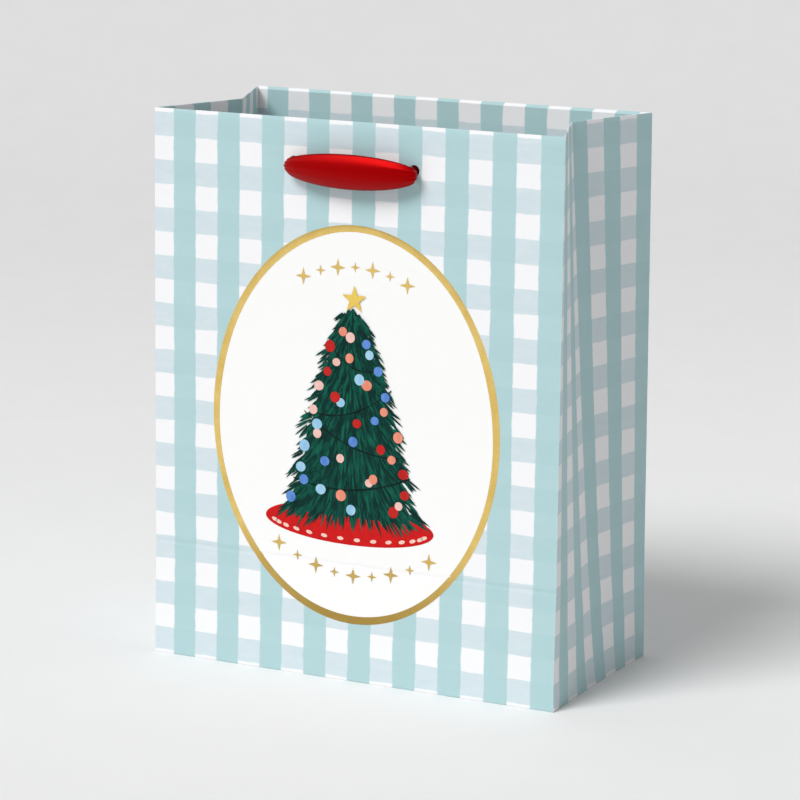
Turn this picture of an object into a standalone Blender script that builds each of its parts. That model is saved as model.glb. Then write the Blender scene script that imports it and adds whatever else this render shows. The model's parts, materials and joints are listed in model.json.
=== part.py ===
"""Gift bag: one folded and glued paper sheet with a turned-in mouth, two hidden handle cards,
a loose-fitting base board and two short satin ribbon handles knotted inside.

Metres, +Z up. The origin is the middle of the footprint, on the surface the bag stands on.
The broad panels face -Y (front) and +Y (back); the pleated gussets face -X and +X.
"""

import math

import bmesh
import bpy
from mathutils import Matrix, Vector

# Driving dimensions of the bag.
WIDTH = 0.2032
DEPTH = 0.1016
HEIGHT = 0.2540
PAPER = 0.0005
GAP = 0.0003

# How the standing bag relaxes: the gusset creases are drawn in towards the mouth,
# which pulls the broad panels together there.
MOUTH_LEAN = 0.0037
MOUTH_PINCH = 0.0180
BASE_PINCH = 0.0008
PINCH_POWER = 0.75
CREASE_GAP = 0.00025
CORNER_GAP = PAPER + 0.0006

# The turned-in mouth.
HEM = 0.0350
CARD = 0.0008
CARD_HEIGHT = 0.0300
CARD_INSET = 0.0040
HEM_SIDE_INSET = 0.0035
CARD_DEPTH = PAPER + GAP
HEM_DEPTH = CARD_DEPTH + CARD + GAP
WALL_STACK = HEM_DEPTH + PAPER
GUSSET_HEM_DEPTH = 1.2 * (PAPER + GAP)

# The base: four glued flaps and a board.
FLAP_LAP = 0.0280
END_FLAP = 0.0450
END_FLAP_TAPER = 0.0160
BOARD = 0.0012
BOARD_INSET = 0.0030
SEAM_LAP = 0.0150

# The handles.
HOLE_RADIUS = 0.0026
HOLE_SPACING = 0.0596
HOLE_DROP = 0.0195
AXIS_OUT = 0.0022
RIBBON = 0.0006
RIBBON_HALF = 0.0080
RIBBON_END_HALF = 0.0020
LOOP_REACH = 0.0065
LOOP_SPREAD = 0.0070
LOOP_DROOP = math.radians(4)
KNOT_RADIUS = 0.0046
NECK_RADIUS = 0.0018

HOLE_HEIGHT = HEIGHT - HOLE_DROP
LEAN_ANGLE = math.atan(MOUTH_LEAN / HEIGHT)

LOOP_STEPS = 30
LOOP_ROWS = 4
GUSSET_ROWS = 14
ROW_CROWDING = 1.5
GUSSET_COLUMNS = 5


def clear_scene():
    for old in list(bpy.data.objects):
        bpy.data.objects.remove(old, do_unlink=True)


def new_collection(name):
    collection = bpy.data.collections.new(name)
    bpy.context.scene.collection.children.link(collection)
    return collection


def material(name, colour, roughness, metallic=0.0):
    made = bpy.data.materials.new(name)
    made.use_nodes = True
    shader = made.node_tree.nodes["Principled BSDF"]
    shader.inputs["Base Color"].default_value = (*colour, 1.0)
    shader.inputs["Roughness"].default_value = roughness
    shader.inputs["Metallic"].default_value = metallic
    return made


def add_object(name, mesh, look, collection):
    piece = bpy.data.objects.new(name, mesh)
    mesh.materials.append(look)
    collection.objects.link(piece)
    return piece


def box_mesh(name, low, high):
    """A box between two corners, made from a unit cube."""
    low, high = Vector(low), Vector(high)
    size = high - low
    bm = bmesh.new()
    bmesh.ops.create_cube(bm, size=1.0)
    bmesh.ops.scale(bm, vec=size, verts=bm.verts)
    bmesh.ops.translate(bm, vec=(low + high) / 2, verts=bm.verts)
    mesh = bpy.data.meshes.new(name)
    bm.to_mesh(mesh)
    bm.free()
    return mesh


def panel_frame(side):
    """The frame of a broad panel: local X along the panel, Y into the bag, Z up the panel.

    side is -1 for the front panel and +1 for the back one; the origin is its outer bottom edge.
    """
    turn = Matrix.Rotation(0.0 if side < 0 else math.pi, 4, "Z")
    stand = Matrix.Translation((0.0, -DEPTH / 2, 0.0))
    lean = Matrix.Rotation(-LEAN_ANGLE, 4, "X")
    return turn @ stand @ lean


def hole_positions():
    return (-HOLE_SPACING / 2, HOLE_SPACING / 2)


def hole_cutter(name, x, cutters):
    """A round punch through every layer of the wall."""
    bm = bmesh.new()
    bmesh.ops.create_cone(
        bm, cap_ends=True, segments=24, radius1=HOLE_RADIUS, radius2=HOLE_RADIUS, depth=0.02
    )
    bmesh.ops.rotate(bm, cent=(0, 0, 0), matrix=Matrix.Rotation(math.pi / 2, 3, "X"), verts=bm.verts)
    bmesh.ops.translate(bm, vec=(x, 0.0, HOLE_HEIGHT), verts=bm.verts)
    mesh = bpy.data.meshes.new(name)
    bm.to_mesh(mesh)
    bm.free()
    punch = bpy.data.objects.new(name, mesh)
    cutters.objects.link(punch)
    punch.hide_render = True
    punch.display_type = "WIRE"
    return punch


def punch_holes(piece, punches):
    for punch in punches:
        cut = piece.modifiers.new("hole", "BOOLEAN")
        cut.operation = "DIFFERENCE"
        cut.object = punch


def broad_wall(label, side, looks, bag, cutters):
    """One broad panel with its handle card, turned-in hem and two punched holes."""
    frame = panel_frame(side)
    half = WIDTH / 2
    punches = []
    for number, x in enumerate(hole_positions()):
        punch = hole_cutter(f"{label}_punch_{number}", x, cutters)
        punch.matrix_world = frame
        punches.append(punch)
    layers = (
        (f"{label}_panel", "print", half, 0.0, PAPER, 0.0001, HEIGHT),
        (f"{label}_handle_card", "card", half - CARD_INSET, CARD_DEPTH, CARD_DEPTH + CARD,
         HEIGHT - CARD_HEIGHT - PAPER, HEIGHT - 2 * PAPER),
        (f"{label}_hem", "print", half - HEM_SIDE_INSET, HEM_DEPTH, WALL_STACK, HEIGHT - HEM, HEIGHT),
    )
    for name, look, reach, outer, inner, low, high in layers:
        mesh = box_mesh(name, (-reach, outer, low), (reach, inner, high))
        piece = add_object(name, mesh, looks[look], bag)
        piece.matrix_world = frame
        punch_holes(piece, punches)


def lean_at(z):
    return MOUTH_LEAN * z / HEIGHT


def pinch_at(z):
    return BASE_PINCH + (MOUTH_PINCH - BASE_PINCH) * (z / HEIGHT) ** PINCH_POWER


def gusset_half(name, side, half, inset, corner_gap, low, high, look, bag):
    """Half of a pleated side wall, from its corner edge to the crease that is drawn in.

    side is -1 for the left wall and +1 for the right; half is -1 for the front half, +1 for the
    back. inset moves the sheet into the bag.
    """
    bm = bmesh.new()
    rows = []
    for row in range(GUSSET_ROWS + 1):
        z = low + (high - low) * (row / GUSSET_ROWS) ** ROW_CROWDING
        corner = DEPTH / 2 - lean_at(z)
        start = corner - corner_gap
        line = []
        for column in range(GUSSET_COLUMNS + 1):
            share = column / GUSSET_COLUMNS
            y = start + (CREASE_GAP - start) * share
            x = WIDTH / 2 - pinch_at(z) * (1.0 - y / corner) - inset
            line.append(bm.verts.new((side * x, half * y, z)))
        rows.append(line)
    for lower, upper in zip(rows, rows[1:]):
        for column in range(GUSSET_COLUMNS):
            corners = [lower[column], lower[column + 1], upper[column + 1], upper[column]]
            if side * half > 0:
                corners.reverse()
            bm.faces.new(corners)
    mesh = bpy.data.meshes.new(name)
    bm.to_mesh(mesh)
    bm.free()
    piece = add_object(name, mesh, look, bag)
    shell = piece.modifiers.new("paper", "SOLIDIFY")
    shell.thickness = PAPER
    shell.offset = -1.0


def side_walls(looks, bag):
    """Both gussets and their turned-in hems, each in two halves that meet at the crease."""
    for side, side_name in ((-1, "left"), (1, "right")):
        for half, half_name in ((-1, "front"), (1, "back")):
            gusset_half(f"{side_name}_gusset_{half_name}", side, half, 0.0, CORNER_GAP,
                        0.0001, HEIGHT, looks["print"], bag)
            gusset_half(f"{side_name}_hem_{half_name}", side, half, GUSSET_HEM_DEPTH,
                        WALL_STACK + 2 * GAP, HEIGHT - HEM, HEIGHT, looks["print"], bag)


def flat_outline(name, points, thickness, z, look, bag):
    """A flat sheet with the given corners, its underside at height z."""
    curve = bpy.data.curves.new(name, "CURVE")
    curve.dimensions = "2D"
    curve.fill_mode = "BOTH"
    curve.extrude = thickness / 2
    spline = curve.splines.new("POLY")
    spline.points.add(len(points) - 1)
    for point, (x, y) in zip(spline.points, points):
        point.co = (x, y, 0.0, 1.0)
    spline.use_cyclic_u = True
    piece = add_object(name, curve, look, bag)
    piece.location = (0.0, 0.0, z + thickness / 2)


def base_flaps(looks, bag):
    """The four bottom flaps: the two long ones outside, lapped, and the tapered end ones above."""
    reach_x = WIDTH / 2 - PAPER - BASE_PINCH - 2 * GAP
    reach_y = DEPTH / 2 - PAPER - GAP
    layer = PAPER + GAP
    long_flaps = (
        ("bottom_back_flap", -FLAP_LAP, reach_y, 0.0),
        ("bottom_front_flap", -reach_y, FLAP_LAP, layer),
    )
    for name, low, high, z in long_flaps:
        mesh = box_mesh(name, (-reach_x, low, z), (reach_x, high, z + PAPER))
        add_object(name, mesh, looks["paper_back"], bag)
    for side, name in ((-1, "bottom_left_flap"), (1, "bottom_right_flap")):
        outer, inner = side * reach_x, side * (reach_x - END_FLAP)
        wide, narrow = reach_y, reach_y - END_FLAP_TAPER
        points = ((outer, -wide), (outer, wide), (inner, narrow), (inner, -narrow))
        flat_outline(name, points, PAPER, 2 * layer, looks["paper_back"], bag)


def base_board(looks, bag):
    x, y = WIDTH / 2 - BOARD_INSET, DEPTH / 2 - BOARD_INSET
    z = 3 * (PAPER + GAP)
    mesh = box_mesh("base_board", (-x, -y, z), (x, y, z + BOARD))
    add_object("base_board", mesh, looks["board"], bag)


def seam_lap(looks, bag):
    """The glued strip that closes the tube, inside the back panel by the left corner."""
    edge = WIDTH / 2 - BOARD_INSET
    low = (edge - SEAM_LAP, PAPER + GAP, 0.006)
    high = (edge, 2 * PAPER + GAP, HEIGHT - HEM - 0.003)
    piece = add_object("seam_lap", box_mesh("seam_lap", low, high), looks["paper_back"], bag)
    piece.matrix_world = panel_frame(1)


def loop_point(angle, across):
    """A point of the ribbon: angle runs 0 to pi from hole to hole, across -1 to 1 over its width.

    X is along the panel, -Y is away from it and Z is the way the ribbon is wide.
    """
    rise = max(math.sin(angle), 0.0)
    half = RIBBON_END_HALF + (RIBBON_HALF - RIBBON_END_HALF) * rise
    x = -HOLE_SPACING / 2 * math.cos(angle) - LOOP_SPREAD * math.sin(2 * angle)
    return Vector((x, -LOOP_REACH * rise, across * half))


def ribbon_loop(name, side, looks, bag):
    """The outside loop of one handle. Its origin is on the line through the two holes."""
    bm = bmesh.new()
    lines = []
    for step in range(LOOP_STEPS + 1):
        angle = math.pi * step / LOOP_STEPS
        spread = [2 * row / LOOP_ROWS - 1 for row in range(LOOP_ROWS + 1)]
        lines.append([bm.verts.new(loop_point(angle, across)) for across in spread])
    for first, second in zip(lines, lines[1:]):
        for row in range(LOOP_ROWS):
            bm.faces.new((first[row], second[row], second[row + 1], first[row + 1]))
    mesh = bpy.data.meshes.new(name)
    bm.to_mesh(mesh)
    bm.free()
    loop = add_object(name, mesh, looks["ribbon"], bag)
    mesh.shade_smooth()
    band = loop.modifiers.new("ribbon", "SOLIDIFY")
    band.thickness = RIBBON
    band.offset = 0.0
    axis = Matrix.Translation((0.0, -AXIS_OUT, HOLE_HEIGHT))
    loop.matrix_world = panel_frame(side) @ axis @ Matrix.Rotation(LOOP_DROOP, 4, "X")


def ribbon_knot(name, side, x, looks, bag):
    """A ribbon end: the neck through the punched hole and the knot that stops it inside."""
    bm = bmesh.new()
    neck_end = WALL_STACK + GAP + KNOT_RADIUS
    bmesh.ops.create_cone(
        bm, cap_ends=True, segments=16, radius1=NECK_RADIUS, radius2=NECK_RADIUS, depth=neck_end
    )
    bmesh.ops.rotate(bm, cent=(0, 0, 0), matrix=Matrix.Rotation(math.pi / 2, 3, "X"), verts=bm.verts)
    bmesh.ops.translate(bm, vec=(0.0, neck_end / 2, 0.0), verts=bm.verts)
    neck_mesh = bpy.data.meshes.new(name)
    bm.to_mesh(neck_mesh)
    bm.free()
    knot = add_object(name, neck_mesh, looks["ribbon"], bag)
    knot.matrix_world = panel_frame(side) @ Matrix.Translation((x, 0.0, HOLE_HEIGHT))
    return knot


def knot_ball(name, knot, cutters):
    """The round body that a knot's neck is joined to."""
    bm = bmesh.new()
    bmesh.ops.create_uvsphere(bm, u_segments=16, v_segments=10, radius=KNOT_RADIUS)
    bmesh.ops.scale(bm, vec=(1.0, 0.8, 1.0), verts=bm.verts)
    bmesh.ops.translate(bm, vec=(0.0, WALL_STACK + GAP + 0.8 * KNOT_RADIUS, 0.0), verts=bm.verts)
    mesh = bpy.data.meshes.new(name)
    bm.to_mesh(mesh)
    bm.free()
    ball = bpy.data.objects.new(name, mesh)
    cutters.objects.link(ball)
    ball.matrix_world = knot.matrix_world
    ball.hide_render = True
    ball.display_type = "WIRE"
    join = knot.modifiers.new("ball", "BOOLEAN")
    join.operation = "UNION"
    join.object = ball


def handles(looks, bag, cutters):
    for side, label in ((-1, "front"), (1, "back")):
        ribbon_loop(f"{label}_ribbon", side, looks, bag)
        for number, x in enumerate(hole_positions(), start=1):
            name = f"{label}_knot_{number}"
            knot = ribbon_knot(name, side, x, looks, bag)
            knot_ball(f"{name}_ball", knot, cutters)


def make_looks():
    return {
        "print": material("gingham_print", (0.62, 0.79, 0.80), 0.55),
        "paper_back": material("uncoated_paper", (0.90, 0.90, 0.89), 0.80),
        "card": material("grey_card", (0.62, 0.61, 0.58), 0.85),
        "board": material("white_board", (0.88, 0.88, 0.86), 0.80),
        "ribbon": material("red_satin", (0.62, 0.01, 0.01), 0.35),
    }


def main():
    clear_scene()
    bag = new_collection("gift_bag")
    cutters = new_collection("gift_bag_cutters")
    looks = make_looks()
    for side, label in ((-1, "front"), (1, "back")):
        broad_wall(label, side, looks, bag, cutters)
    side_walls(looks, bag)
    base_flaps(looks, bag)
    base_board(looks, bag)
    seam_lap(looks, bag)
    handles(looks, bag, cutters)
    bpy.context.view_layer.update()


main()
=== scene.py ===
"""The looks of a gingham gift bag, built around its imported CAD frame."""

import json
import math
import random

import bmesh
import bpy
from mathutils import Matrix, Vector


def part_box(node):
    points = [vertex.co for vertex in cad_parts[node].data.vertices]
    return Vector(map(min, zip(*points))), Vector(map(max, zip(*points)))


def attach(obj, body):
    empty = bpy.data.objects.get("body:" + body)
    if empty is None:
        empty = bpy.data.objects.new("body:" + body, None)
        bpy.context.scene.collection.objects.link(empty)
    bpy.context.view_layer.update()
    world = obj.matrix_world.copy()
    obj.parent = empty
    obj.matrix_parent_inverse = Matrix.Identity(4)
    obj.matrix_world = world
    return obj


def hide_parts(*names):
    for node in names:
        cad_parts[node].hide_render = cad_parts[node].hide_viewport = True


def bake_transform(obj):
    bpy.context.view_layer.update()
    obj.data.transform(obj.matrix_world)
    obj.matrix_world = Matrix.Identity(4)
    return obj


MM = 0.001

# The folded sheet, and the thickness that it has in the CAD model.
CAD_PAPER = 0.5 * MM
SHEET = 0.28 * MM
FOLD_RADIUS = 0.35 * MM
HEM_DEPTH = 1.95 * MM
GUSSET_HEM_DEPTH = 0.85 * MM
CARD_TOP_DROP = 1.2 * MM
BASE_CREASE_HEIGHT = 53.5 * MM
BASE_CREASE_DEPTH = 0.9 * MM
CREASE_GROOVE = 0.22 * MM
CREASE_REACH = 1.3 * MM
DIAGONAL_FOLD_DEPTH = 0.35 * MM
DIAGONAL_FOLD_REACH = 9 * MM
DIAGONAL_FOLD_FADE = 20 * MM
PANEL_BOW = 0.54 * MM
PAPER_WAVE = 0.12 * MM
PINCH_POWER = 0.75
BASE_PINCH = 0.8 * MM
SHARP_FOLD = math.radians(34)

# How finely the sheet is divided.
FRONT_COLUMNS = 44
GUSSET_COLUMNS = 12
WALL_ROWS = 64
ROW_CROWDING = 1.25
HEM_ROWS = 8

# The seam strip: how far its middle lies inside the back panel's outer face.
SEAM_DEPTH = 0.75 * MM
SEAM_ROWS = 48
SEAM_COLUMNS = 4

# The gingham: where the first stripe starts on each kind of wall and how far apart its stripes are.
STRIPE_PERIOD = 22.75 * MM
STRIPE_START = 10.0 * MM
BACK_STRIPE_START = 4.6 * MM
GUSSET_STRIPE_START = 6.6 * MM
GUSSET_STRIPE_PERIOD = 21.3 * MM
BAND_PERIOD = 21.8 * MM
BAND_START = 1.6 * MM
EDGE_WAVER = 1.5 * MM
EDGE_SOFTNESS = 0.07
HEM_PRINT_SHIFT = 1.0 * MM
# Each wall's print starts this many stripe periods after the wall before it.
WALL_PERIODS = 12

# The medallion and its tree, measured across and up the front panel from its lower left corner.
OVAL_CENTRE = Vector((103.0, 117.5)) * MM
OVAL_HALF_WIDTH = 72.0 * MM
OVAL_HALF_HEIGHT = 90.7 * MM
RING_WIDTH = 3.3 * MM
RING_STEPS = 240
TREE_X = 102.0 * MM
TREE_BASE = 76.0 * MM
TREE_TOP = 171.0 * MM
TREE_HALF = 34.5 * MM
TREE_TAPER = 0.64
TREE_TIERS = 5.4
STROKE_ROWS = 30
STROKE_FAN = math.radians(54)
SKIRT_CENTRE = Vector((100.7, 72.5)) * MM
SKIRT_HALF_WIDTH = 42.5 * MM
SKIRT_HALF_HEIGHT = 9.4 * MM
SKIRT_STITCHES = 14
STAR_CENTRE = Vector((102.9, 175.0)) * MM
STAR_RADIUS = 6.4 * MM
BAUBLES = 40
GOLDEN_ANGLE = 2.399963
GARLAND_SAG = 5.5 * MM
# Each string's height as a share of the tree's, its slope, and which way it climbs.
GARLANDS = ((0.19, 0.03, 1), (0.40, 0.09, -1), (0.56, 0.07, 1), (0.78, 0.06, -1))

# Heights of the printed layers above the paper.
INK = 0.03 * MM
LAYER = 0.06 * MM
STROKE_STEP = 0.0002 * MM
SPARKLE_RISE = INK + LAYER
SKIRT_RISE = INK + LAYER
STITCH_RISE = INK + 1.6 * LAYER
CORE_RISE = INK + 2 * LAYER
STROKE_RISE = INK + 2.5 * LAYER
GARLAND_RISE = INK + 6.3 * LAYER
BAUBLE_RISE = INK + 7 * LAYER
BAUBLE_STEP = 0.002 * MM
STAR_RISE = INK + 8 * LAYER

# Two rows of sparkles: how many, the middle one's height, half the span and how far the ends rise.
SPARKLE_ARCS = (
    (7, 189.5 * MM, 26.0 * MM, -6.0 * MM),
    (9, 49.0 * MM, 38.0 * MM, 11.0 * MM),
)
LARGE_SPARKLE = 4.0 * MM
SMALL_SPARKLE = 2.5 * MM

# The foil's painted reflection, a darker gold painted towards the base, is full at the first height and
# gone at the second.
FOIL_PAINTED_REFLECTION = (20 * MM, 70 * MM)

# The ribbons.
RIBBON_HALF = 7.8 * MM
RIBBON_END_HALF = 1.6 * MM
RIBBON_THICKNESS = 0.28 * MM
RIBBON_CROWN = 3.1 * MM
CROWN_SHARE = 0.62
FILL_POWER = 1.9
GATHER_POWER = 1.6
PLEATS = 3.5
PLEAT_DEPTH = 0.40 * MM
CREASE_DEPTH = 0.30 * MM
LOOP_REACH = 6.3 * MM
LOOP_SPREAD = 6.4 * MM
LOOP_SKEW = 1.6 * MM
LOOP_TILT = math.radians(3.2)
LOOP_SAG = 1.5 * MM
LOOP_SMOOTHINGS = 6
NECK_LENGTH = 6.2 * MM
NECK_STEPS = 14
RIBBON_STEPS = 120
RIBBON_COLUMNS = 32

# The holes, and the knots and tails behind them.
HOLE_RADIUS = 2.6 * MM
PUNCH_LENGTH = 16 * MM
KNOT_STEPS = 96
KNOT_COLUMNS = 12
KNOT_THICKNESS = 1.55 * MM
KNOT_SIZE = 1.05 * MM
KNOT_INSET = 3.6 * MM
TAIL_LENGTH = 13 * MM
TAIL_HALF = (1.6 * MM, 3.2 * MM)
TAIL_CUT = 2.0 * MM
TAIL_STEPS = 16
TAIL_COLUMNS = 8

# The studio and the camera.
SURROUND = (0.47, 0.29)
KEY_STRENGTH = 2.22
KEY_ANGLE = math.radians(28)
KEY_DIRECTION = (0.262, 0.602, -0.755)
FLOOR_FRONT = -3.0
FLOOR_BACK = 1.1
SWEEP_RADIUS = 0.9
SWEEP_STEPS = 12
SWEEP_HALF_WIDTH = 4.0
WALL_TOP = 3.2
SWEEP_TURN = math.radians(27)
CAMERA_PLACE = (0.6946, -1.3657, 0.4488)
CAMERA_AZIMUTH = math.radians(-26.975)
CAMERA_ELEVATION = math.radians(12.095)
CAMERA_ROLL = math.radians(-0.363)
CAMERA_LENS = 153.95
CAMERA_SENSOR = 36.0


# ---------------------------------------------------------------- the frame

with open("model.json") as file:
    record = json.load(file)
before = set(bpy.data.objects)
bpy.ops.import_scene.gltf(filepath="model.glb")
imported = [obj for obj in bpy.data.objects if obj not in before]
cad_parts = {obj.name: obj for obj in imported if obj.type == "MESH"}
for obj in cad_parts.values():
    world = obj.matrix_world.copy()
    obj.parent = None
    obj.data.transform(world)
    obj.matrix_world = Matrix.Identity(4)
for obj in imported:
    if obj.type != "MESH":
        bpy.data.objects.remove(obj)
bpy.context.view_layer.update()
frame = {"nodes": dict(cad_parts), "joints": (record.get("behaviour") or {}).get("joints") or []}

panel_low, panel_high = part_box("front_panel")
WIDTH = panel_high.x - panel_low.x
HEIGHT = panel_high.z
HALF_DEPTH = -panel_low.y
gusset_low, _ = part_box("right_gusset_front")
MOUTH_PINCH = WIDTH / 2 - gusset_low.x - CAD_PAPER
MOUTH_LEAN = panel_high.y - panel_low.y - CAD_PAPER
GUSSET_WIDTH = HALF_DEPTH
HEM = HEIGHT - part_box("front_hem")[0].z
JOINTS = {joint["name"]: joint for joint in frame["joints"]}


def hole_point(label, number):
    """Where one punched hole passes through the outer face of a broad panel."""
    low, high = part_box(f"{label}_knot_{number}")
    middle = (low + high) / 2
    y = low.y if label == "front" else high.y
    return Vector((middle.x, y, middle.z))


# ---------------------------------------------------------------- node helpers


class Nodes:
    """A short way to write a material's node tree."""

    def __init__(self, name):
        self.material = bpy.data.materials.new(name)
        self.material.use_nodes = True
        self.tree = self.material.node_tree
        self.shader = self.tree.nodes["Principled BSDF"]

    def add(self, kind, **settings):
        node = self.tree.nodes.new(kind)
        for key, value in settings.items():
            setattr(node, key, value)
        return node

    def feed(self, socket, value):
        if isinstance(value, bpy.types.NodeSocket):
            self.tree.links.new(value, socket)
        else:
            socket.default_value = value

    def math(self, operation, first, second=0.0):
        node = self.add("ShaderNodeMath", operation=operation)
        self.feed(node.inputs[0], first)
        self.feed(node.inputs[1], second)
        return node.outputs[0]

    def mix(self, share, first, second):
        node = self.add("ShaderNodeMix", data_type="RGBA")
        self.feed(node.inputs["Factor"], share)
        self.feed(node.inputs["A"], first)
        self.feed(node.inputs["B"], second)
        return node.outputs["Result"]

    def ramp(self, value, low, high, out_low=0.0, out_high=1.0):
        node = self.add("ShaderNodeMapRange")
        for socket, number in zip(node.inputs, (value, low, high, out_low, out_high)):
            self.feed(socket, number)
        return node.outputs["Result"]

    def noise(self, vector, scale, detail=2.0, roughness=0.5):
        node = self.add("ShaderNodeTexNoise")
        self.feed(node.inputs["Vector"], vector)
        node.inputs["Scale"].default_value = scale
        node.inputs["Detail"].default_value = detail
        node.inputs["Roughness"].default_value = roughness
        return node.outputs["Fac"]

    def stretch(self, vector, scale):
        node = self.add("ShaderNodeMapping")
        self.feed(node.inputs["Vector"], vector)
        node.inputs["Scale"].default_value = scale
        return node.outputs["Vector"]

    def object_point(self):
        return self.add("ShaderNodeTexCoord").outputs["Object"]

    def print_point(self):
        return self.add("ShaderNodeUVMap", uv_map="print").outputs["UV"]

    def bump(self, height, strength, distance):
        node = self.add("ShaderNodeBump")
        node.inputs["Strength"].default_value = strength
        node.inputs["Distance"].default_value = distance
        self.feed(node.inputs["Height"], height)
        self.feed(self.shader.inputs["Normal"], node.outputs["Normal"])

    def set(self, **values):
        for key, value in values.items():
            self.feed(self.shader.inputs[key.replace("_", " ")], value)


def srgb(red, green, blue):
    """A linear colour from the 0 to 255 values a picture shows."""

    def linear(value):
        value /= 255
        return value / 12.92 if value <= 0.04045 else ((value + 0.055) / 1.055) ** 2.4

    return (linear(red), linear(green), linear(blue), 1.0)


PAPER_WHITE = srgb(247, 247, 249)
TEAL = srgb(184, 215, 218)
TEAL_DEEP = srgb(168, 204, 208)
BAND_BLUE = srgb(208, 224, 230)


def stripe_mask(nodes, point, across, start, period):
    """1 inside the painted stripes and 0 between them, with edges that waver like brushwork."""
    wobble = nodes.noise(point, 85.0, 3.0, 0.6)
    shift = nodes.math("MULTIPLY", nodes.math("SUBTRACT", wobble, 0.5), EDGE_WAVER)
    place = nodes.math("ADD", nodes.math("SUBTRACT", across, start), shift)
    wave = nodes.math("SINE", nodes.math("MULTIPLY", place, math.tau / period))
    return nodes.ramp(wave, -EDGE_SOFTNESS, EDGE_SOFTNESS)


def paint_gingham(nodes, point):
    """The painted check, from a point whose X runs along the sheet and Y up it, in metres."""
    parts = nodes.add("ShaderNodeSeparateXYZ")
    nodes.feed(parts.inputs[0], point)
    stripes = stripe_mask(nodes, point, parts.outputs["X"], STRIPE_START, STRIPE_PERIOD)
    bands = stripe_mask(nodes, point, parts.outputs["Y"], BAND_START, BAND_PERIOD)
    wash = nodes.noise(nodes.stretch(point, (90.0, 260.0, 1.0)), 1.0, 4.0, 0.65)
    grain = nodes.noise(point, 2600.0, 2.0, 0.6)
    band_strength = nodes.ramp(wash, 0.25, 0.75, 0.75, 1.0)
    white = nodes.mix(nodes.math("MULTIPLY", bands, band_strength), PAPER_WHITE, BAND_BLUE)
    crossing = nodes.math("MULTIPLY", bands, 0.12)
    teal_share = nodes.math("ADD", crossing, nodes.ramp(wash, 0.3, 0.8, 0.0, 0.28))
    teal = nodes.mix(teal_share, TEAL, TEAL_DEEP)
    check = nodes.mix(stripes, white, teal)
    painted = nodes.ramp(bands, 0.0, 1.0, 0.02, 0.05)
    strength = nodes.math("ADD", painted, nodes.math("MULTIPLY", stripes, 0.05))
    specks = nodes.math("MULTIPLY", nodes.ramp(grain, 0.32, 0.68), strength)
    speckle = nodes.mix(specks, check, srgb(110, 165, 172))
    return speckle, parts, grain


def paper_bump(nodes, point, grain):
    """Fine grain and fibres that run along the sheet."""
    fibre = nodes.noise(nodes.stretch(point, (900.0, 2400.0, 900.0)), 1.0, 3.0, 0.6)
    height = nodes.math("ADD", nodes.math("MULTIPLY", grain, 0.5), fibre)
    nodes.bump(height, 0.10, 0.05 * MM)


def oval_share(nodes, place, centre, half):
    """The square of how far a place lies from the medallion's middle, as a share of its half size."""
    distance = nodes.math("DIVIDE", nodes.math("SUBTRACT", place, centre), half - MM)
    return nodes.math("POWER", distance, 2.0)


def printed_paper_material():
    """Satin coated paper: the gingham everywhere, and the plain white oval on the front."""
    nodes = Nodes("gingham_paper")
    point = nodes.print_point()
    check, parts, grain = paint_gingham(nodes, point)
    across = oval_share(nodes, parts.outputs["X"], OVAL_CENTRE.x, OVAL_HALF_WIDTH)
    upward = oval_share(nodes, parts.outputs["Y"], OVAL_CENTRE.y, OVAL_HALF_HEIGHT)
    outside = nodes.ramp(nodes.math("ADD", across, upward), 0.985, 0.995)
    tone = nodes.ramp(nodes.noise(point, 900.0, 3.0), 0.3, 0.7, 0.0, 0.04)
    plain = nodes.mix(tone, srgb(250, 250, 249), srgb(236, 236, 234))
    nodes.set(Base_Color=nodes.mix(outside, plain, check))
    nodes.set(Roughness=nodes.ramp(grain, 0.3, 0.7, 0.46, 0.58))
    nodes.set(Specular_IOR_Level=0.22, Coat_Weight=0.05, Coat_Roughness=0.35)
    paper_bump(nodes, point, grain)
    return nodes.material


def flap_print_material():
    """The same print on the flaps under the bag, placed by their own coordinates."""
    nodes = Nodes("gingham_base_print")
    point = nodes.object_point()
    check, _, grain = paint_gingham(nodes, point)
    nodes.set(Base_Color=check, Roughness=0.55)
    paper_bump(nodes, point, grain)
    return nodes.material


def fibre_material(name, light, dark, roughness, scale):
    """Uncoated paper, card or board: soft mottling, flecks and a felted surface."""
    nodes = Nodes(name)
    point = nodes.object_point()
    cloud = nodes.noise(point, scale, 4.0, 0.6)
    fleck = nodes.noise(nodes.stretch(point, (1.0, 1.0, 3.0)), scale * 14, 2.0, 0.7)
    base = nodes.mix(nodes.ramp(cloud, 0.3, 0.7), dark, light)
    flecks = nodes.ramp(fleck, 0.62, 0.75, 0.0, 0.35)
    nodes.set(Base_Color=nodes.mix(flecks, base, dark), Roughness=roughness)
    nodes.bump(nodes.math("ADD", cloud, fleck), 0.25, 0.08 * MM)
    return nodes.material


def foil_material():
    """Hot-stamped gold: a little rippled, with fine pinholes, and a painted reflection that darkens it
    towards the base.
    """
    nodes = Nodes("gold_foil")
    point = nodes.object_point()
    ripple = nodes.noise(point, 130.0, 3.0, 0.5)
    fine = nodes.noise(point, 1500.0, 2.0, 0.6)
    gold = nodes.mix(nodes.ramp(ripple, 0.3, 0.7), srgb(236, 200, 112), srgb(248, 216, 132))
    parts = nodes.add("ShaderNodeSeparateXYZ")
    nodes.feed(parts.inputs[0], point)
    # painted reflection: the gold is mixed towards a darker brownish gold near the base
    height = nodes.ramp(parts.outputs["Z"], *FOIL_PAINTED_REFLECTION)
    nodes.set(Base_Color=nodes.mix(height, srgb(164, 132, 62), gold), Metallic=1.0)
    nodes.set(Roughness=nodes.ramp(fine, 0.3, 0.7, 0.18, 0.28))
    nodes.bump(ripple, 0.05, 0.10 * MM)
    return nodes.material


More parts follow.
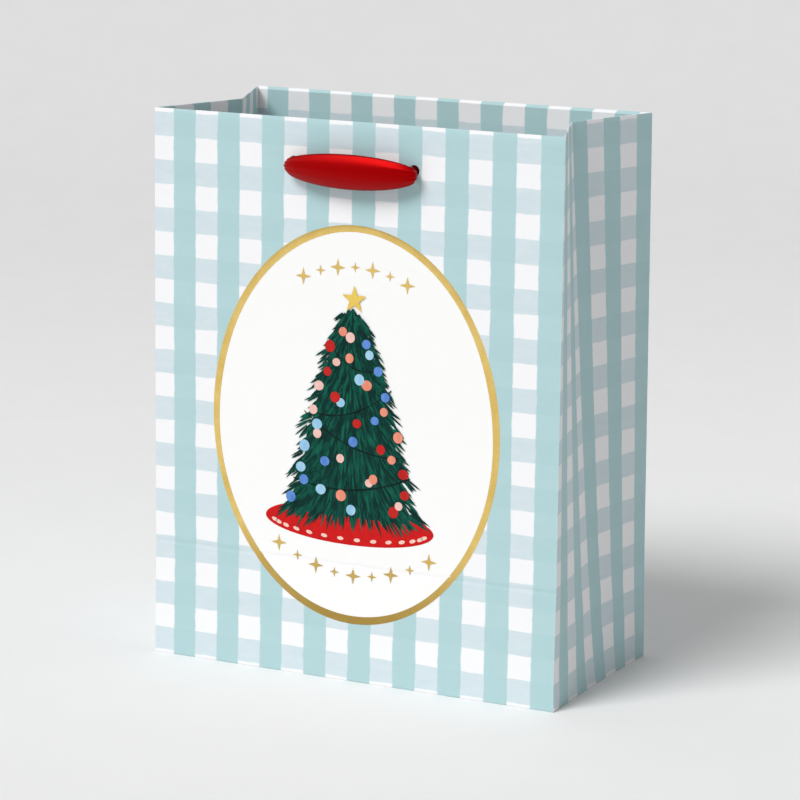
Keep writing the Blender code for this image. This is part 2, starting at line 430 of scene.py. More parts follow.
def ink_material(name, light, dark, scale=420.0, stretch=(1.0, 1.0, 0.35)):
    """Printed paint with brushy variation between two shades."""
    nodes = Nodes(name)
    point = nodes.stretch(nodes.object_point(), stretch)
    brush = nodes.noise(point, scale, 4.0, 0.65)
    nodes.set(Base_Color=nodes.mix(nodes.ramp(brush, 0.32, 0.68), dark, light), Roughness=0.5)
    nodes.set(Specular_IOR_Level=0.12)
    nodes.bump(brush, 0.06, 0.05 * MM)
    return nodes.material


def satin_material():
    """Red satin: a tight weave along the ribbon, a soft sheen and darker selvedges."""
    nodes = Nodes("red_satin")
    parts = nodes.add("ShaderNodeSeparateXYZ")
    nodes.feed(parts.inputs[0], nodes.print_point())
    across, along = parts.outputs["X"], parts.outputs["Y"]
    rib = nodes.math("SINE", nodes.math("MULTIPLY", along, math.tau / (0.34 * MM)))
    thread = nodes.math("SINE", nodes.math("MULTIPLY", across, math.tau / (0.22 * MM)))
    slub = nodes.noise(nodes.stretch(nodes.print_point(), (2600.0, 300.0, 1.0)), 1.0, 2.0)
    selvedge = nodes.ramp(nodes.math("ABSOLUTE", across), RIBBON_HALF - 0.9 * MM, RIBBON_HALF - 0.4 * MM)
    red = nodes.mix(nodes.ramp(slub, 0.3, 0.7), srgb(152, 0, 3), srgb(166, 1, 5))
    nodes.set(Base_Color=nodes.mix(selvedge, red, srgb(124, 0, 4)))
    nodes.set(Roughness=nodes.ramp(slub, 0.3, 0.7, 0.36, 0.46), Specular_IOR_Level=0.9)
    nodes.set(Specular_Tint=srgb(255, 34, 26), Anisotropic=0.4, Metallic=0.25)
    weave = nodes.math("ADD", nodes.math("MULTIPLY", rib, 0.6), nodes.math("MULTIPLY", thread, 0.4))
    nodes.bump(weave, 0.10, 0.04 * MM)
    return nodes.material


# ---------------------------------------------------------------- mesh helpers


def new_object(name, mesh, *looks):
    """A named object in the scene, with its materials in slot order."""
    piece = bpy.data.objects.new(name, mesh)
    bpy.context.scene.collection.objects.link(piece)
    for look in looks:
        mesh.materials.append(look)
    return piece


def mesh_from(name, bm):
    """Turns a finished bmesh into a mesh and frees it."""
    mesh = bpy.data.meshes.new(name)
    bm.to_mesh(mesh)
    bm.free()
    return mesh


def apply_modifiers(piece):
    """Makes an object's modifiers permanent."""
    graph = bpy.context.evaluated_depsgraph_get()
    mesh = bpy.data.meshes.new_from_object(piece.evaluated_get(graph), depsgraph=graph)
    piece.modifiers.clear()
    piece.data = mesh


def thicken(piece, thickness):
    """Gives a surface a thickness, half to each side."""
    shell = piece.modifiers.new("thickness", "SOLIDIFY")
    shell.thickness = thickness
    shell.offset = 0.0
    apply_modifiers(piece)


def grid_faces(bm, rows, closed, uv_rows=None):
    """Faces between rows of vertices; closed joins each row's end to its start.

    uv_rows gives the print's coordinates, with one more value than vertices in a closed row.
    """
    layer = bm.loops.layers.uv.new("print") if uv_rows else None
    for r in range(len(rows) - 1):
        count = len(rows[r])
        for c in range(count if closed else count - 1):
            d = (c + 1) % count
            face = bm.faces.new((rows[r][c], rows[r][d], rows[r + 1][d], rows[r + 1][c]))
            face.smooth = True
            if layer:
                corners = ((r, c), (r, c + 1), (r + 1, c + 1), (r + 1, c))
                for loop, (i, j) in zip(face.loops, corners):
                    loop[layer].uv = uv_rows[i][j]


# ---------------------------------------------------------------- the folded sheet


def smoothstep(value):
    """A soft step from 0 to 1."""
    value = min(max(value, 0.0), 1.0)
    return value * value * (3 - 2 * value)


def lean_at(z):
    """How far each broad panel leans in at a height."""
    return MOUTH_LEAN * z / HEIGHT


def pinch_at(z):
    """How far each gusset's middle is pinched in at a height."""
    return BASE_PINCH + (MOUTH_PINCH - BASE_PINCH) * (z / HEIGHT) ** PINCH_POWER


def base_crease(z):
    """How far the flat-fold crease round the lower part draws the paper in at a height."""
    below = z / BASE_CREASE_HEIGHT
    above = (HEIGHT - z) / (HEIGHT - BASE_CREASE_HEIGHT)
    groove = max(0.0, 1 - abs(z - BASE_CREASE_HEIGHT) / CREASE_REACH)
    return BASE_CREASE_DEPTH * min(below, above**1.6) + CREASE_GROOVE * groove


def panel_bow(x, z):
    """How far a broad panel bows out between its corners, with the paper's slight unevenness."""
    side = 1 - (2 * x / WIDTH) ** 2
    upper = (z - BASE_CREASE_HEIGHT) / (HEIGHT - HEM - BASE_CREASE_HEIGHT)
    tall = math.sin(math.pi * min(max(upper, 0.0), 1.0))
    wave = math.sin(41 * x + 23 * z + 0.7) + math.sin(-29 * x + 57 * z)
    return side * tall * (PANEL_BOW + PAPER_WAVE * wave)


def panel_inset(x, z):
    """How far the outer face of a broad panel lies inside the plane of its base edge."""
    return lean_at(z) + base_crease(z) - panel_bow(x, z)


def front_point(u, v, rise=0.0):
    """A point on the front panel from the print's coordinates, lifted by rise."""
    x = u - WIDTH / 2
    return Vector((x, -HALF_DEPTH + panel_inset(x, v) - rise, v))


def gusset_crease_fold(share, z):
    """A shallow diagonal fold running up from a base corner on each gusset half."""
    diagonal = GUSSET_WIDTH * share
    near = max(0.0, 1 - abs(z - diagonal) / DIAGONAL_FOLD_REACH)
    fade = smoothstep((BASE_CREASE_HEIGHT - z) / DIAGONAL_FOLD_FADE)
    return DIAGONAL_FOLD_DEPTH * near * fade


def printed_u(wall, along):
    """The print's coordinate at a distance along one wall: 0 front, 1 right, 2 back, 3 left."""
    gusset = (GUSSET_STRIPE_START, GUSSET_STRIPE_PERIOD)
    stripes = ((STRIPE_START, STRIPE_PERIOD), gusset, (BACK_STRIPE_START, STRIPE_PERIOD), gusset)
    start, period = stripes[wall]
    wall_origin = WALL_PERIODS * STRIPE_PERIOD * wall
    return wall_origin + STRIPE_START + (along - start) * STRIPE_PERIOD / period


def broad_wall(z, depth, edge_x):
    """Points across a broad panel, crowded towards its edges: (x, y, distance along the wall)."""
    for column in range(FRONT_COLUMNS):
        share = 0.5 - 0.5 * math.cos(math.pi * column / FRONT_COLUMNS)
        share = 0.5 * share + 0.5 * column / FRONT_COLUMNS
        x = -edge_x + 2 * edge_x * share
        yield x, -HALF_DEPTH + panel_inset(x, z) + depth, WIDTH * share


def gusset_wall(z, depth, edge_x, corner, pinch):
    """Points across a pinched gusset, its middle crease a little rounded, in the same form."""
    for column in range(2 * GUSSET_COLUMNS):
        share = column / (2 * GUSSET_COLUMNS)
        fold = min(share, 1 - share) * 2
        soft = math.sin(math.pi / 2 * min(fold * 1.02, 1.0)) * 0.04 + fold * 0.96
        x = edge_x - pinch * soft * (1 - depth / corner) + gusset_crease_fold(fold, z)
        yield x, (corner - depth) * (2 * share - 1), 2 * GUSSET_WIDTH * share


def ring_points(z, depth, gusset_depth):
    """One turn of the sheet at a height, from the front panel's left corner.

    Each point comes with its wall's number and its distance along that wall.
    """
    turn = []
    corner = HALF_DEPTH - lean_at(z) - base_crease(z)
    pinch = pinch_at(z)
    edge_x = WIDTH / 2 - pinch * depth / corner - gusset_depth
    for way, wall in ((1, 0), (-1, 2)):
        for x, y, along in broad_wall(z, depth, edge_x):
            turn.append(((way * x, way * y), wall, along))
        for x, y, along in gusset_wall(z, depth, edge_x, corner, pinch):
            turn.append(((way * x, way * y), wall + 1, along))
    return turn


def sheet_rows():
    """Height, depth and gusset depth of each turn, up the wall and down the turned-in hem, with v."""
    rows = [(0.0, FOLD_RADIUS, FOLD_RADIUS, 0.0), (0.1 * MM, 0.1 * MM, 0.1 * MM, 0.1 * MM)]
    heights = [BASE_CREASE_HEIGHT + step * CREASE_REACH / 2 for step in range(-3, 4)]
    for row in range(WALL_ROWS + 1):
        z = FOLD_RADIUS + (HEIGHT - 2 * FOLD_RADIUS) * (row / WALL_ROWS) ** ROW_CROWDING
        if abs(z - BASE_CREASE_HEIGHT) > 2 * CREASE_REACH:
            heights.append(z)
    rows += [(z, 0.0, 0.0, z) for z in sorted(heights)]
    hem_v = HEIGHT - HEM_PRINT_SHIFT
    rows += [
        (HEIGHT - 0.1 * MM, 0.10 * MM, 0.10 * MM, HEIGHT - 0.1 * MM),
        (HEIGHT, FOLD_RADIUS, FOLD_RADIUS, HEIGHT),
        (HEIGHT - 0.1 * MM, 0.60 * MM, 0.58 * MM, HEIGHT + 0.1 * MM),
        (HEIGHT - CARD_TOP_DROP, HEM_DEPTH, GUSSET_HEM_DEPTH, hem_v + CARD_TOP_DROP),
    ]
    for row in range(1, HEM_ROWS + 1):
        drop = CARD_TOP_DROP + (HEM - CARD_TOP_DROP) * row / HEM_ROWS
        rows.append((HEIGHT - drop, HEM_DEPTH, GUSSET_HEM_DEPTH, hem_v + drop))
    return rows


def wall_edge_uvs(turn, index, v):
    """The print's coordinates at both ends of the stretch of wall that starts at a point."""
    _, wall, along = turn[index]
    _, next_wall, next_along = turn[(index + 1) % len(turn)]
    if next_wall != wall:
        next_along = WIDTH if wall % 2 == 0 else 2 * GUSSET_WIDTH
    return (printed_u(wall, along), v), (printed_u(wall, next_along), v)


def sheet_faces(bm, rows, uv_rows):
    """Faces between the turns of the sheet; uv_rows gives each stretch's two ends on the print."""
    layer = bm.loops.layers.uv.new("print")
    for r in range(len(rows) - 1):
        count = len(rows[r])
        for c in range(count):
            d = (c + 1) % count
            face = bm.faces.new((rows[r][c], rows[r][d], rows[r + 1][d], rows[r + 1][c]))
            face.smooth = True
            (low_left, low_right), (high_left, high_right) = uv_rows[r][c], uv_rows[r + 1][c]
            for loop, uv in zip(face.loops, (low_left, low_right, high_right, high_left)):
                loop[layer].uv = uv


def folded_sheet(look, plain):
    """The one sheet of paper: four walls and the turned-in mouth, with its holes punched."""
    bm = bmesh.new()
    vertex_rows = []
    uv_rows = []
    for z, depth, gusset_depth, v in sheet_rows():
        turn = ring_points(z, depth, gusset_depth)
        vertex_rows.append([bm.verts.new((x, y, z)) for (x, y), _, _ in turn])
        uv_rows.append([wall_edge_uvs(turn, index, v) for index in range(len(turn))])
    sheet_faces(bm, vertex_rows, uv_rows)
    sheet = new_object("folded_paper_sheet", mesh_from("folded_paper_sheet", bm), look, plain)
    shell = sheet.modifiers.new("paper", "SOLIDIFY")
    shell.thickness = SHEET
    shell.offset = -1.0
    shell.material_offset = 1
    shell.material_offset_rim = 1
    punches = [hole_punch(label, number) for label in ("front", "back") for number in (1, 2)]
    for punch in punches:
        cut = sheet.modifiers.new("hole", "BOOLEAN")
        cut.operation = "DIFFERENCE"
        cut.object = punch
    apply_modifiers(sheet)
    for punch in punches:
        bpy.data.objects.remove(punch, do_unlink=True)
    sheet.data.set_sharp_from_angle(angle=SHARP_FOLD)
    return sheet


def seam_strip(look):
    """The glued overlap that closes the sheet into a tube, inside the back panel's left edge."""
    low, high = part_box("seam_lap")
    bm = bmesh.new()
    rows = []
    for row in range(SEAM_ROWS + 1):
        z = low.z + (high.z - low.z) * row / SEAM_ROWS
        line = []
        for column in range(SEAM_COLUMNS + 1):
            x = low.x + (high.x - low.x) * column / SEAM_COLUMNS
            line.append(bm.verts.new((x, HALF_DEPTH - panel_inset(x, z) - SEAM_DEPTH, z)))
        rows.append(line)
    grid_faces(bm, rows, False)
    strip = new_object("seam_strip", mesh_from("seam_strip", bm), look)
    thicken(strip, SHEET)
    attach(strip, "bag")
    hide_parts("seam_lap")


def hole_punch(label, number):
    """A rod through one hole's place, to cut it out of the sheet."""
    bm = bmesh.new()
    size = {"radius1": HOLE_RADIUS, "radius2": HOLE_RADIUS, "depth": PUNCH_LENGTH}
    bmesh.ops.create_cone(bm, cap_ends=True, segments=32, **size)
    along_y = Matrix.Rotation(math.pi / 2, 3, "X")
    bmesh.ops.rotate(bm, cent=(0, 0, 0), matrix=along_y, verts=bm.verts)
    bmesh.ops.translate(bm, vec=hole_point(label, number), verts=bm.verts)
    return new_object(f"{label}_punch_{number}", mesh_from("punch", bm))


# ---------------------------------------------------------------- the printed medallion


def flat_patch(bm, outline, rise, index=0):
    """A filled outline on the front panel, as a fan round its middle."""
    middle = sum(outline, Vector((0.0, 0.0))) / len(outline)
    hub = bm.verts.new(front_point(middle.x, middle.y, rise))
    rim = [bm.verts.new(front_point(p.x, p.y, rise)) for p in outline]
    for first, second in zip(rim, rim[1:] + rim[:1]):
        face = bm.faces.new((hub, first, second))
        face.material_index = index


def oval_outline(centre, half_width, half_height, count, turn=0.0):
    """Points round an oval that is turned by an angle."""
    points = []
    for step in range(count):
        angle = math.tau * step / count
        point = Vector((half_width * math.cos(angle), half_height * math.sin(angle)))
        point.rotate(Matrix.Rotation(turn, 2))
        points.append(centre + point)
    return points


def gold_ring(look):
    """The foil line round the medallion, its width varying a little like a drawn one."""
    bm = bmesh.new()
    rows = []
    for edge in range(5):
        row = []
        for step in range(RING_STEPS):
            angle = math.tau * step / RING_STEPS
            waver = 1 + 0.07 * math.sin(3 * angle + 0.6) + 0.04 * math.sin(7 * angle)
            inset = RING_WIDTH * waver * edge / 4
            u = OVAL_CENTRE.x + (OVAL_HALF_WIDTH - inset) * math.cos(angle)
            v = OVAL_CENTRE.y + (OVAL_HALF_HEIGHT - inset) * math.sin(angle)
            rise = INK + LAYER * (1 - abs(edge / 2 - 1) ** 3)
            row.append(bm.verts.new(front_point(u, v, rise)))
        rows.append(row)
    grid_faces(bm, rows, True)
    return new_object("medallion_foil_ring", mesh_from("medallion_foil_ring", bm), look)


def star_outline(centre, radius, points, inner):
    """A star with one point straight up; inner is the notches' radius as a share of the points'."""
    outline = []
    for step in range(2 * points):
        reach = radius if step % 2 == 0 else radius * inner
        angle = math.pi / 2 + math.pi * step / points
        outline.append(centre + reach * Vector((math.cos(angle), math.sin(angle))))
    return outline


def tree_star(look):
    """The star on the tree's tip."""
    bm = bmesh.new()
    flat_patch(bm, star_outline(STAR_CENTRE, STAR_RADIUS, 5, 0.40), STAR_RISE)
    return new_object("tree_top_star", mesh_from("tree_top_star", bm), look)


def foil_sparkles(look):
    """Small four-pointed sparkles along two arcs, above and below the tree."""
    bm = bmesh.new()
    for count, middle, half_span, end_rise in SPARKLE_ARCS:
        for number in range(count):
            across = 2 * number / (count - 1) - 1
            height = middle + end_rise * across * across
            centre = Vector((OVAL_CENTRE.x + half_span * across, height))
            size = LARGE_SPARKLE if number % 2 == 0 else SMALL_SPARKLE
            flat_patch(bm, star_outline(centre, size, 4, 0.30), SPARKLE_RISE)
    return new_object("medallion_sparkles", mesh_from("medallion_sparkles", bm), look)


def tree_v(height):
    """How far up the front panel a share of the tree's height is."""
    return TREE_BASE + (TREE_TOP - TREE_BASE) * height


def tree_half_width(height):
    """Half the tree's width at a share of its height, widening in tiers of boughs."""
    tier = 1 - (TREE_TIERS * height) % 1.0
    return TREE_HALF * max(1 - height, 0.0) ** TREE_TAPER * (0.92 + 0.13 * tier)


def needle(bm, start, direction, length, width, rise, index):
    """One brush stroke: a thin leaf shape with a pointed tip."""
    side = Vector((-direction.y, direction.x))
    stations = ((0.0, 0.55), (0.35, 1.0), (0.75, 0.7))
    left = []
    right = []
    for along, wide in stations:
        middle = start + direction * length * along
        left.append(middle + side * width * wide / 2)
        right.append(middle - side * width * wide / 2)
    outline = left + [start + direction * length] + right[::-1]
    flat_patch(bm, outline, rise, index)


def tree_core(bm):
    """The plain green shape behind the brush strokes."""
    right = []
    for step in range(25):
        height = step / 24
        half = 0.84 * TREE_HALF * (1 - height) ** TREE_TAPER
        right.append(Vector((TREE_X + half, tree_v(height))))
    left = [Vector((2 * TREE_X - p.x, p.y)) for p in reversed(right)]
    flat_patch(bm, right + left, CORE_RISE, 0)


def tree_foliage(looks):
    """Rows of brush strokes that fan outward and down, the upper rows lying over the lower."""
    chance = random.Random(11)
    bm = bmesh.new()
    tree_core(bm)
    rise = STROKE_RISE
    for row in range(STROKE_ROWS):
        height = 0.97 * row / STROKE_ROWS
        half = tree_half_width(height)
        count = int(14 + 46 * half / TREE_HALF)
        for number in range(count):
            share = 2 * (number + 0.5) / count - 1 + chance.uniform(-0.03, 0.03)
            tilt = share * STROKE_FAN + chance.uniform(-0.2, 0.2)
            direction = Vector((math.sin(tilt), -math.cos(tilt)))
            start = Vector((TREE_X + 0.86 * half * share, tree_v(height) + 5 * MM))
            start.y += chance.uniform(-1.5, 1.5) * MM - 3 * MM * abs(share)
            length = chance.uniform(7.0, 12.5) * MM * (0.45 + 0.55 * half / TREE_HALF)
            width = chance.uniform(0.8, 1.5) * MM
            rise += STROKE_STEP
            needle(bm, start, direction, length, width, rise, chance.choice((0, 1, 1, 2)))
    return new_object("tree_foliage", mesh_from("tree_foliage", bm), *looks)


def tree_garland(look):
    """Dark strings that sag across the tree from edge to edge."""
    bm = bmesh.new()
    for height, slope, way in GARLANDS:
        half = 0.93 * tree_half_width(height)
        upper = []
        lower = []
        for step in range(33):
            share = step / 16 - 1
            climb = way * slope * (TREE_TOP - TREE_BASE) * share
            u = TREE_X + half * share
            v = tree_v(height) + climb - GARLAND_SAG * (1 - share * share)
            thick = (0.34 + 0.10 * math.sin(9 * share)) * MM
            upper.append(bm.verts.new(front_point(u, v + thick, GARLAND_RISE)))
            lower.append(bm.verts.new(front_point(u, v - thick, GARLAND_RISE)))
        grid_faces(bm, [lower, upper], False)
    return new_object("tree_garland", mesh_from("tree_garland", bm), look)


def tree_baubles(looks):
    """Round ornaments scattered by a golden-angle rule, kept inside the tree."""
    chance = random.Random(5)
    bm = bmesh.new()
    for number in range(BAUBLES):
        height = 0.03 + 0.87 * ((number + 0.5) / BAUBLES) ** 1.15
        swing = math.sin(number * GOLDEN_ANGLE)
        half = 0.93 * tree_half_width(height)
        centre = Vector((TREE_X + half * swing, tree_v(height)))
        radius = chance.uniform(1.95, 2.6) * MM
        squash = chance.uniform(0.92, 1.08)
        outline = oval_outline(centre, radius, radius * squash, 20)
        flat_patch(bm, outline, BAUBLE_RISE + BAUBLE_STEP * number, number % len(looks))
    return new_object("tree_baubles", mesh_from("tree_baubles", bm), *looks)


def tree_skirt(red, dash_look):
    """The red cloth under the tree with a row of pale stitches round its lower rim."""
    bm = bmesh.new()
    cloth = oval_outline(SKIRT_CENTRE, SKIRT_HALF_WIDTH, SKIRT_HALF_HEIGHT, 72)
    flat_patch(bm, cloth, SKIRT_RISE, 0)
    half_row = SKIRT_HALF_WIDTH - 3.2 * MM
    row_drop = SKIRT_HALF_HEIGHT - 2.6 * MM
    for number in range(SKIRT_STITCHES):
        across = 0.97 * math.sin(math.pi / 2 * 0.92 * (2 * number / (SKIRT_STITCHES - 1) - 1))
        spot = Vector((across * half_row, -math.sqrt(1 - across * across) * row_drop))
        dash = oval_outline(SKIRT_CENTRE + spot, 1.6 * MM, 0.85 * MM, 14, 0.45 * across)
        flat_patch(bm, dash, STITCH_RISE, 1)
    return new_object("tree_skirt", mesh_from("tree_skirt", bm), red, dash_look)


# ---------------------------------------------------------------- the ribbons


def loop_line(spacing):
    """The middle line of a ribbon in its own frame, with each point's share of the full width.

    It runs out through one hole, round the loop and back in through the other.
    """
    line = []
    for step in range(NECK_STEPS):
        line.append((Vector((-spacing / 2, NECK_LENGTH * (1 - step / NECK_STEPS), 0.0)), 0.0))
    for step in range(RIBBON_STEPS + 1):
        angle = math.pi * step / RIBBON_STEPS
        rise = math.sin(angle)
        x = -spacing / 2 * math.cos(angle) - LOOP_SPREAD * math.sin(2 * angle) + LOOP_SKEW * rise
        line.append((Vector((x, -LOOP_REACH * rise, 0.0)), rise))
    for step in range(1, NECK_STEPS + 1):
        line.append((Vector((spacing / 2, NECK_LENGTH * step / NECK_STEPS, 0.0)), 0.0))
    points = [point for point, _ in line]
    for _ in range(LOOP_SMOOTHINGS):
        inner = [(a + 2 * b + c) / 4 for a, b, c in zip(points, points[1:], points[2:])]
        points = [points[0], *inner, points[-1]]
    return [(point, fill) for point, (_, fill) in zip(points, line)]


def ribbon_section(share, fill):
    """Where one thread of the ribbon lies across it: (out from the middle line, up)."""
    half = RIBBON_END_HALF + (RIBBON_HALF - RIBBON_END_HALF) * fill**FILL_POWER
    gathered = (1 - fill) ** GATHER_POWER
    pleat = PLEAT_DEPTH * gathered * math.cos(share * math.pi * PLEATS)
    fine = CREASE_DEPTH * fill * (1 - fill) * math.sin(share * 13)
    crown = RIBBON_CROWN * fill * (CROWN_SHARE - share * share)
    thread = share - 0.05 * gathered * math.sin(share * math.pi * PLEATS)
    sag = LOOP_SAG * smoothstep(2.2 * fill)
    return pleat + fine + crown, half * thread - sag


def across_ribbon(distance, columns):
    """The print's coordinates along one row of a ribbon's columns, at a distance along it."""
    return [(RIBBON_HALF * (2 * column / columns - 1), distance) for column in range(columns + 1)]


def ribbon_band(label, look):
    """One handle: a satin ribbon gathered through both holes and open between them."""
    holes = [hole_point(label, number) for number in (1, 2)]
    line = loop_line((holes[1] - holes[0]).length)
    bm = bmesh.new()
    rows = []
    uv_rows = []
    travelled = 0.0
    for index, (middle, fill) in enumerate(line):
        before, after = line[max(index - 1, 0)][0], line[min(index + 1, len(line) - 1)][0]
        tangent = (after - before).normalized()
        outward = Vector((tangent.y, -tangent.x, 0.0))
        travelled += (middle - before).length
        row = []
        for column in range(RIBBON_COLUMNS + 1):
            out, up = ribbon_section(2 * column / RIBBON_COLUMNS - 1, fill)
            row.append(bm.verts.new(middle + outward * out + Vector((0.0, 0.0, up))))
        rows.append(row)
        uv_rows.append(across_ribbon(travelled, RIBBON_COLUMNS))
    grid_faces(bm, rows, False, uv_rows)
    band = new_object(f"{label}_ribbon_band", mesh_from(f"{label}_ribbon_band", bm), look)
    thicken(band, RIBBON_THICKNESS)
    band.data.transform(handle_frame(label))
    return band


def handle_frame(label):
    """A handle's own frame: X along the panel, -Y away from it, with its origin on the hinge."""
    axis = Vector(JOINTS[f"{label}_handle_swing"]["pos_m"])
    turn = Matrix.Rotation(0.0 if label == "front" else math.pi, 4, "Z")
    place = Matrix.Translation((0.0, -abs(axis.y), axis.z))
    return turn @ place @ Matrix.Rotation(LOOP_TILT, 4, "X")


def knot_line():
    """A trefoil, the shape that an overhand knot pulls into."""
    points = []
    for step in range(KNOT_STEPS):
        t = math.tau * step / KNOT_STEPS
        x = math.sin(t) + 2 * math.sin(2 * t)
        y = math.cos(t) - 2 * math.cos(2 * t)
        points.append(Vector((x, -math.sin(3 * t), y)) * KNOT_SIZE)
    return points


def ribbon_knot(label, number, look):
    """The overhand knot inside the bag behind one hole, and the cut tail that hangs from it."""
    bm = bmesh.new()
    centre = knot_centre(label, number)
    points = knot_line()
    rows = []
    uv_rows = []
    for index, point in enumerate(points):
        tangent = (points[(index + 1) % len(points)] - points[index - 1]).normalized()
        side = tangent.cross(Vector((0, 1, 0))).normalized()
        other = tangent.cross(side)
        row = []
        for step in range(KNOT_COLUMNS):
            angle = math.tau * step / KNOT_COLUMNS
            wide = KNOT_THICKNESS * (1 + 0.14 * math.cos(3 * angle))
            offset = side * math.cos(angle) * wide + other * math.sin(angle) * wide * 0.8
            row.append(bm.verts.new(centre + point + offset))
        rows.append(row)
    for index in range(len(rows) + 1):
        uv_rows.append(across_ribbon(index * 0.4 * MM, KNOT_COLUMNS))
    grid_faces(bm, rows + rows[:1], True, uv_rows)
    name = f"{label}_ribbon_knot_{number}"
    knot = new_object(name, mesh_from(name, bm), look)
    inward = 1 if label == "front" else -1
    return knot, ribbon_tail(centre, inward, f"{label}_ribbon_tail_{number}", look)


def knot_centre(label, number):
    """The middle of a knot, near the inner end of its CAD solid."""
    low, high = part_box(f"{label}_knot_{number}")
    middle = (low + high) / 2
    y = high.y - KNOT_INSET if label == "front" else low.y + KNOT_INSET
    return Vector((middle.x, y, middle.z))


def ribbon_tail(centre, inward, name, look):
    """A short free end with a slanted cut."""
    bm = bmesh.new()
    rows = []
    uv_rows = []
    narrow, widening = TAIL_HALF
    for step in range(TAIL_STEPS + 1):
        share = step / TAIL_STEPS
        half = narrow + widening * smoothstep(share * 1.6)
        curl = 0.72 * MM * math.sin(share * 2.6)
        row = []
        for column in range(TAIL_COLUMNS + 1):
            across = 2 * column / TAIL_COLUMNS - 1
            slant = TAIL_CUT * across if step == TAIL_STEPS else 0.0
            dip = 0.7 * MM * math.cos(across * 4) * (1 - share)
            y = centre.y + inward * (0.6 * MM + curl + dip)
            z = centre.z - 1.5 * MM - TAIL_LENGTH * share - slant
            row.append(bm.verts.new((centre.x + half * across, y, z)))
        rows.append(row)
        uv_rows.append(across_ribbon(15 * MM * share, TAIL_COLUMNS))
    grid_faces(bm, rows, False, uv_rows)
    tail = new_object(name, mesh_from(name, bm), look)
    thicken(tail, RIBBON_THICKNESS)
    return tail


def hang_handle(label, look):
    """Puts one ribbon with its knots on the bag."""
    band = ribbon_band(label, look)
    tied = [piece for number in (1, 2) for piece in ribbon_knot(label, number, look)]
    knots = tied[0::2]
    for piece in tied:
        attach(piece, "bag")
    for number, knot in enumerate(knots, 1):
        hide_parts(f"{label}_knot_{number}")
    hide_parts(f"{label}_ribbon")
    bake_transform(band)


# ---------------------------------------------------------------- the stage


def stage_material():
    """Matt pale paper, with painted shade: darker where it rises behind the bag."""
    nodes = Nodes("studio_paper")
    point = nodes.object_point()
    grain = nodes.noise(point, 30.0, 3.0)
    parts = nodes.add("ShaderNodeSeparateXYZ")
    nodes.feed(parts.inputs[0], point)
    floor = nodes.mix(grain, srgb(238, 238, 238), srgb(241, 241, 241))
    # painted shade: the backdrop gets a darker colour than the floor, standing in for the dimmer light
    # there
    wall = nodes.mix(grain, srgb(216, 216, 216), srgb(220, 220, 220))
    rise = nodes.ramp(parts.outputs["Y"], 0.15, 1.3)
    nodes.set(Base_Color=nodes.mix(rise, floor, wall), Roughness=0.75, Specular_IOR_Level=0.2)
    return nodes.material


def studio_sweep():
    """A floor that curves up into a backdrop."""
    bm = bmesh.new()
    profile = [(FLOOR_FRONT, 0.0), (FLOOR_BACK, 0.0)]
    for step in range(1, SWEEP_STEPS + 1):
        angle = math.pi / 2 * step / SWEEP_STEPS
        forward = FLOOR_BACK + SWEEP_RADIUS * math.sin(angle)
        profile.append((forward, SWEEP_RADIUS * (1 - math.cos(angle))))
    profile.append((FLOOR_BACK + SWEEP_RADIUS, WALL_TOP))
    rows = []
    for y, z in profile:
        rows.append([bm.verts.new((x, y, z)) for x in (-SWEEP_HALF_WIDTH, SWEEP_HALF_WIDTH)])
    grid_faces(bm, rows, False)
    sweep = new_object("studio_sweep", mesh_from("studio_sweep", bm), stage_material())
    sweep.rotation_euler.z = SWEEP_TURN


def studio_surround():
    """A white surround that is dimmer on the right."""
    world = bpy.data.worlds.new("studio")
    bpy.context.scene.world = world
    world.use_nodes = True
    tree = world.node_tree
    coordinates = tree.nodes.new("ShaderNodeTexCoord")
    direction = tree.nodes.new("ShaderNodeSeparateXYZ")
    tree.links.new(coordinates.outputs["Generated"], direction.inputs[0])
    falloff = tree.nodes.new("ShaderNodeMapRange")
    for socket, number in zip(falloff.inputs[1:5], (-1.0, 1.0, *SURROUND)):
        socket.default_value = number
    tree.links.new(direction.outputs["X"], falloff.inputs[0])
    surround = tree.nodes["Background"]
    surround.inputs["Color"].default_value = (1.0, 1.0, 1.0, 1.0)
    tree.links.new(falloff.outputs["Result"], surround.inputs["Strength"])


def studio_lamp():
    """One large soft lamp from the front, left and above."""
    data = bpy.data.lights.new("key", "SUN")
    data.energy = KEY_STRENGTH
    data.angle = KEY_ANGLE
    lamp = bpy.data.objects.new("key", data)
    bpy.context.scene.collection.objects.link(lamp)
    lamp.rotation_euler = Vector(KEY_DIRECTION).to_track_quat("-Z", "Y").to_euler()
    bpy.context.scene.view_settings.view_transform = "Standard"


def camera():
    """A long lens from the front right, a little above the mouth."""
    data = bpy.data.cameras.new("camera")
    data.lens = CAMERA_LENS
    data.sensor_width = CAMERA_SENSOR
    eye = bpy.data.objects.new("camera", data)
    bpy.context.scene.collection.objects.link(eye)
    level = math.cos(CAMERA_ELEVATION)
    across, along = math.sin(CAMERA_AZIMUTH) * level, math.cos(CAMERA_AZIMUTH) * level
    forward = Vector((across, along, -math.sin(CAMERA_ELEVATION)))
    eye.location = CAMERA_PLACE
    look = forward.to_track_quat("-Z", "Y").to_matrix().to_4x4()
    eye.rotation_euler = (look @ Matrix.Rotation(-CAMERA_ROLL, 4, "Z")).to_euler()
    bpy.context.scene.camera = eye


# ---------------------------------------------------------------- putting it together


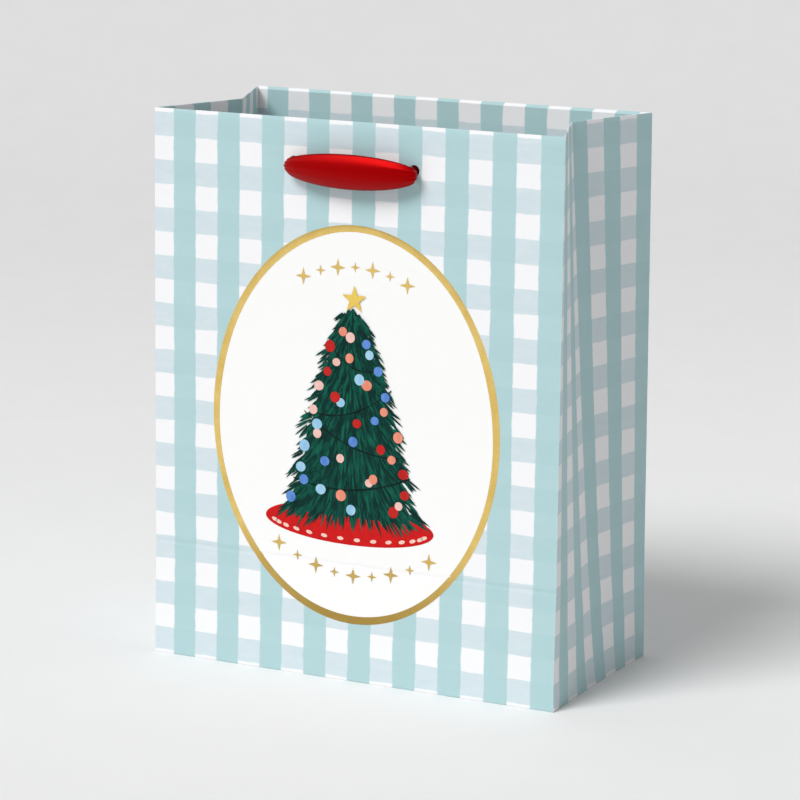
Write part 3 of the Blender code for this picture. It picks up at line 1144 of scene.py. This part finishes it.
def dress_cad_nodes():
    """The nodes whose shape is right keep it and get their own paper, card or board."""
    base_print = flap_print_material()
    grey = fibre_material("grey_card", srgb(176, 172, 164), srgb(150, 146, 138), 0.85, 160.0)
    white = fibre_material("white_board", srgb(238, 237, 232), srgb(222, 220, 213), 0.8, 120.0)
    plain = fibre_material("uncoated_paper", srgb(244, 244, 242), srgb(237, 237, 235), 0.82, 260.0)
    finishes = {
        "bottom_front_flap": base_print,
        "bottom_back_flap": base_print,
        "bottom_left_flap": plain,
        "bottom_right_flap": plain,
        "base_board": white,
        "front_handle_card": grey,
        "back_handle_card": grey,
    }
    for name, look in finishes.items():
        node = frame["nodes"][name]
        node.data.materials.clear()
        node.data.materials.append(look)
    return plain


def dress_sheet(plain):
    """Puts the folded sheet and its seam strip on the bag."""
    sheet = folded_sheet(printed_paper_material(), plain)
    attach(sheet, "bag")
    walls = ["front_panel", "back_panel", "front_hem", "back_hem"]
    for side in ("left", "right"):
        for half in ("front", "back"):
            walls += [f"{side}_gusset_{half}", f"{side}_hem_{half}"]
    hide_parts(*walls)
    seam_strip(plain)


def dress_medallion():
    """Prints the medallion: the foil ring and sparkles, and the painted tree."""
    gold = foil_material()
    greens = [
        ink_material("tree_green", srgb(6, 82, 68), srgb(2, 62, 54)),
        ink_material("tree_green_deep", srgb(3, 58, 50), srgb(1, 40, 36)),
        ink_material("tree_green_light", srgb(14, 98, 78), srgb(6, 80, 64)),
    ]
    balls = [
        ink_material("bauble_sky", srgb(172, 214, 236), srgb(140, 190, 224)),
        ink_material("bauble_red", srgb(206, 44, 38), srgb(178, 28, 28)),
        ink_material("bauble_blue", srgb(104, 150, 220), srgb(78, 122, 196)),
        ink_material("bauble_blush", srgb(246, 206, 198), srgb(232, 184, 174)),
        ink_material("bauble_coral", srgb(240, 154, 130), srgb(224, 130, 106)),
    ]
    red = ink_material("skirt_red", srgb(212, 26, 26), srgb(196, 18, 20), 260.0, (1.0, 1.0, 1.0))
    pale = ink_material("skirt_stitch", srgb(250, 214, 200), srgb(240, 196, 182))
    string = ink_material("garland_dark", srgb(8, 38, 34), srgb(4, 24, 22))
    yellow = ink_material("star_gold", srgb(238, 208, 104), srgb(226, 190, 84))
    foil = [gold_ring(gold), foil_sparkles(gold)]
    inks = [tree_skirt(red, pale), tree_foliage(greens), tree_garland(string), tree_baubles(balls)]
    inks.append(tree_star(yellow))
    for piece in foil + inks:
        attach(piece, "bag")


camera()
studio_surround()
studio_lamp()
studio_sweep()
plain_paper = dress_cad_nodes()
dress_sheet(plain_paper)
dress_medallion()
satin = satin_material()
for handle in ("front", "back"):
    hang_handle(handle, satin)
